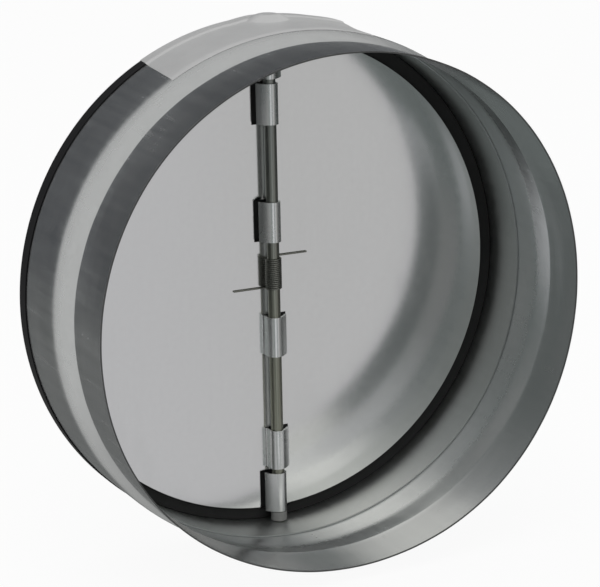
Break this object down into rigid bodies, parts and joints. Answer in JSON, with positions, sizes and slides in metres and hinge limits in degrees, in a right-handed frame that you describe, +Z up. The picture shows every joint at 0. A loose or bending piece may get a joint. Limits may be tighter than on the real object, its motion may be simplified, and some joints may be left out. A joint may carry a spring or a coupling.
{
  "type": "duct backdraft damper",
  "caption": "Round galvanised duct backdraft damper: a spigot ring with spring-loaded semicircular aluminium blades that open with the airflow and close against it.",
  "frame": {"origin": "centre of the spigot's rim, on the duct's axis", "axes": "+Y along the duct, upstream from the spigot; +Z up along the hinge rod; +X to the right seen from the spigot end"},
  "size_m": [0.2572, 0.0946, 0.2624],
  "materials": {
    "galvanised_sheet": "satin galvanised",
    "galvanised_sleeve": "satin galvanised",
    "black_gasket": "matt",
    "black_bar": "matt black",
    "black_rubber": "semi-matt",
    "blade_aluminium": "mill bright",
    "rod_steel": "drawn",
    "spring_steel": "drawn wire",
    "bush_plastic": "natural",
    "cap_plastic": "natural",
    "label_film": "silver film, blank"
  },
  "bodies": {
    "ring": {"housing": "galvanised_sheet", "stop_ring": "galvanised_sleeve", "blade_gasket": "black_gasket", "centre_bar": "black_bar", "edge_trim": "black_rubber", "hinge_rod": "rod_steel", "torsion_spring": "spring_steel", "top_bush": "bush_plastic", "bottom_bush": "bush_plastic", "top_end_cap": "cap_plastic", "bottom_end_cap": "cap_plastic", "label": "label_film"},
    "left_flap": {"left_blade": "blade_aluminium"},
    "right_flap": {"right_blade": "blade_aluminium"}
  },
  "joints": [
    {"name": "left_blade_hinge", "type": "hinge", "parent": "ring", "child": "left_flap", "pos_m": [0, 0.0838, 0], "axis": [0, 0, 1], "range_deg": [0, 85], "stiffness_Nm_per_rad": 0.0025, "springref_deg": -57.3, "deforming": ["torsion_spring"]},
    {"name": "right_blade_hinge", "type": "hinge", "parent": "ring", "child": "right_flap", "pos_m": [0, 0.0838, 0], "axis": [0, 0, -1], "range_deg": [0, 85], "stiffness_Nm_per_rad": 0.0025, "springref_deg": -57.3, "deforming": ["torsion_spring"]}
  ]
}
